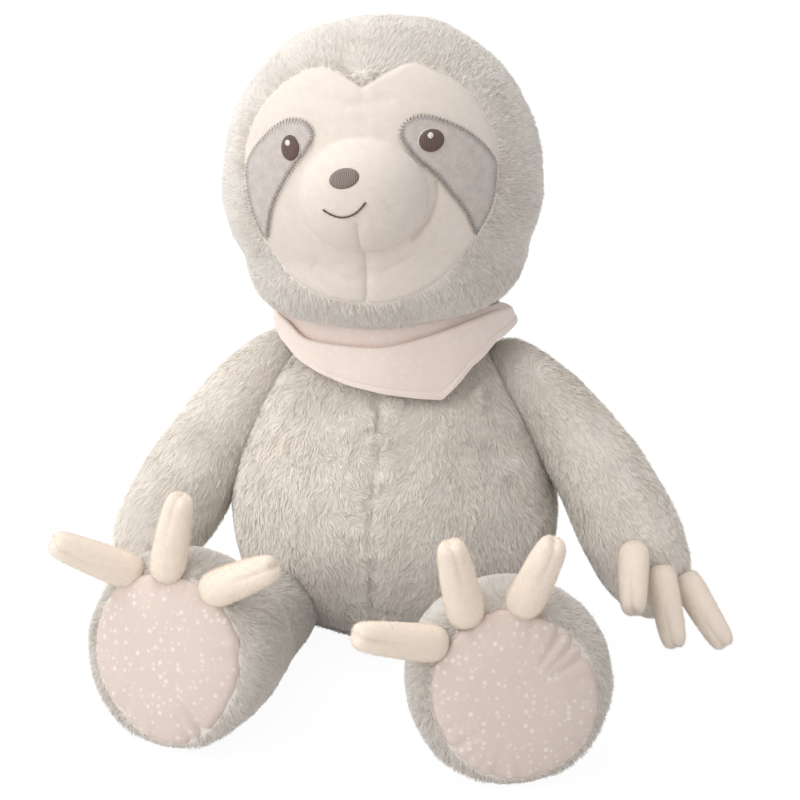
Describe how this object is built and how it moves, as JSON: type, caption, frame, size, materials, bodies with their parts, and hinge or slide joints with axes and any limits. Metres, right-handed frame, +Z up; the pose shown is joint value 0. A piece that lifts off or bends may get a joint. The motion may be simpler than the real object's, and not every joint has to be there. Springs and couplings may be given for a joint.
{
  "type": "plush sloth",
  "caption": "Seated soft toy sloth with a pile body, velour face, jointed limbs and claws, and a dotted bandana",
  "frame": {"origin": "on the floor under the seat, below the neck", "axes": "+Z up, the toy faces -Y, its left side is +X"},
  "size_m": [0.3257, 0.2726, 0.3183],
  "materials": {
    "grey_pile_cloth": "soft grey-beige pile",
    "cream_velour": "fine cream velour",
    "grey_velour": "fine grey velour",
    "dotted_cotton": "woven cotton printed with white dots",
    "dark_brown_thread": "satin-stitched thread",
    "taupe_thread": "satin-stitched thread",
    "white_thread": "satin-stitched thread",
    "white_fibre": "loose fibre stuffing",
    "calico_bag": "plain calico, filled with pellets"
  },
  "bodies": {
    "torso": {"torso_skin": "grey_pile_cloth", "torso_filling": "white_fibre", "pellet_bag": "calico_bag", "bandana": "dotted_cotton"},
    "neck": {"neck_filling": "white_fibre"},
    "head": {"head_hood": "grey_pile_cloth", "face_panel": "cream_velour", "head_filling": "white_fibre", "left_eye_patch": "grey_velour", "right_eye_patch": "grey_velour", "left_eye": "dark_brown_thread", "right_eye": "dark_brown_thread", "left_eye_glint": "white_thread", "right_eye_glint": "white_thread", "nose": "taupe_thread", "mouth": "dark_brown_thread"},
    "left_arm": {"left_arm_skin": "grey_pile_cloth", "left_arm_filling": "white_fibre"},
    "right_arm": {"right_arm_skin": "grey_pile_cloth", "right_arm_filling": "white_fibre"},
    "left_leg": {"left_leg_skin": "grey_pile_cloth", "left_leg_filling": "white_fibre", "left_sole": "dotted_cotton"},
    "right_leg": {"right_leg_skin": "grey_pile_cloth", "right_leg_filling": "white_fibre", "right_sole": "dotted_cotton"},
    "left_hand_claw_1": {"left_hand_claw_1": "cream_velour"},
    "left_hand_claw_2": {"left_hand_claw_2": "cream_velour"},
    "left_hand_claw_3": {"left_hand_claw_3": "cream_velour"},
    "right_hand_claw_1": {"right_hand_claw_1": "cream_velour"},
    "right_hand_claw_2": {"right_hand_claw_2": "cream_velour"},
    "right_hand_claw_3": {"right_hand_claw_3": "cream_velour"},
    "left_toe_claw_1": {"left_toe_claw_1": "cream_velour"},
    "left_toe_claw_2": {"left_toe_claw_2": "cream_velour"},
    "left_toe_claw_3": {"left_toe_claw_3": "cream_velour"},
    "right_toe_claw_1": {"right_toe_claw_1": "cream_velour"},
    "right_toe_claw_2": {"right_toe_claw_2": "cream_velour"},
    "right_toe_claw_3": {"right_toe_claw_3": "cream_velour"}
  },
  "joints": [
    {"name": "neck_turn", "type": "hinge", "parent": "torso", "child": "neck", "pos_m": [0, 0, 0.168], "axis": [0, 0, 1], "range_deg": [-25, 25], "stiffness_Nm_per_rad": 0.3},
    {"name": "neck_nod", "type": "hinge", "parent": "neck", "child": "head", "pos_m": [0, 0, 0.168], "axis": [1, 0, 0], "range_deg": [-8, 8], "stiffness_Nm_per_rad": 1},
    {"name": "left_shoulder", "type": "hinge", "parent": "torso", "child": "left_arm", "pos_m": [0.05676, -0.00076, 0.14355], "axis": [-0.5989, -0.7389, -0.3089], "range_deg": [0, 60]},
    {"name": "right_shoulder", "type": "hinge", "parent": "torso", "child": "right_arm", "pos_m": [-0.05676, -0.00076, 0.14355], "axis": [-0.5989, 0.7389, 0.3089], "range_deg": [0, 60]},
    {"name": "left_hip", "type": "hinge", "parent": "torso", "child": "left_leg", "pos_m": [0.044, -0.02736, 0.02558], "axis": [1, 0, 0], "range_deg": [0, 80]},
    {"name": "right_hip", "type": "hinge", "parent": "torso", "child": "right_leg", "pos_m": [-0.044, -0.02736, 0.02558], "axis": [1, 0, 0], "range_deg": [0, 80]},
    {"name": "left_hand_claw_1_sway", "type": "hinge", "parent": "left_arm", "child": "left_hand_claw_1", "pos_m": [0.12878, -0.05002, 0.06018], "axis": [-0.9823, 0, -0.1871], "range_deg": [-15, 25], "stiffness_Nm_per_rad": 0.02},
    {"name": "left_hand_claw_2_sway", "type": "hinge", "parent": "left_arm", "child": "left_hand_claw_2", "pos_m": [0.14303, -0.04895, 0.04781], "axis": [-0.9435, 0, -0.3315], "range_deg": [-15, 25], "stiffness_Nm_per_rad": 0.02},
    {"name": "left_hand_claw_3_sway", "type": "hinge", "parent": "left_arm", "child": "left_hand_claw_3", "pos_m": [0.15661, -0.03782, 0.03981], "axis": [-0.7625, 0, -0.647], "range_deg": [-15, 25], "stiffness_Nm_per_rad": 0.02},
    {"name": "right_hand_claw_1_sway", "type": "hinge", "parent": "right_arm", "child": "right_hand_claw_1", "pos_m": [-0.10915, -0.04577, 0.03698], "axis": [-0.8533, 0, -0.5215], "range_deg": [-15, 25], "stiffness_Nm_per_rad": 0.02},
    {"name": "right_hand_claw_2_sway", "type": "hinge", "parent": "right_arm", "child": "right_hand_claw_2", "pos_m": [-0.12172, -0.04862, 0.03198], "axis": [-0.9487, 0, -0.3162], "range_deg": [-15, 25], "stiffness_Nm_per_rad": 0.02},
    {"name": "right_hand_claw_3_sway", "type": "hinge", "parent": "right_arm", "child": "right_hand_claw_3", "pos_m": [-0.13557, -0.04684, 0.03025], "axis": [-0.9985, 0, -0.0555], "range_deg": [-15, 25], "stiffness_Nm_per_rad": 0.02},
    {"name": "left_toe_claw_1_sway", "type": "hinge", "parent": "left_leg", "child": "left_toe_claw_1", "pos_m": [0.0475, -0.18416, 0.07052], "axis": [0.168, 0.2626, 0.9502], "range_deg": [-15, 30], "stiffness_Nm_per_rad": 0.02},
    {"name": "left_toe_claw_2_sway", "type": "hinge", "parent": "left_leg", "child": "left_toe_claw_2", "pos_m": [0.06262, -0.17569, 0.0849], "axis": [0.9153, 0.3309, 0.2295], "range_deg": [-15, 30], "stiffness_Nm_per_rad": 0.02},
    {"name": "left_toe_claw_3_sway", "type": "hinge", "parent": "left_leg", "child": "left_toe_claw_3", "pos_m": [0.08929, -0.16761, 0.08803], "axis": [0.9265, 0.2145, -0.3093], "range_deg": [-15, 30], "stiffness_Nm_per_rad": 0.02},
    {"name": "right_toe_claw_1_sway", "type": "hinge", "parent": "right_leg", "child": "right_toe_claw_1", "pos_m": [-0.05438, -0.16991, 0.08314], "axis": [0.4139, -0.3163, -0.8536], "range_deg": [-15, 30], "stiffness_Nm_per_rad": 0.02},
    {"name": "right_toe_claw_2_sway", "type": "hinge", "parent": "right_leg", "child": "right_toe_claw_2", "pos_m": [-0.08045, -0.16072, 0.08897], "axis": [0.9137, -0.3316, -0.2348], "range_deg": [-15, 30], "stiffness_Nm_per_rad": 0.02},
    {"name": "right_toe_claw_3_sway", "type": "hinge", "parent": "right_leg", "child": "right_toe_claw_3", "pos_m": [-0.10323, -0.15448, 0.0817], "axis": [0.4976, 0.0405, 0.8665], "range_deg": [-15, 30], "stiffness_Nm_per_rad": 0.02}
  ]
}
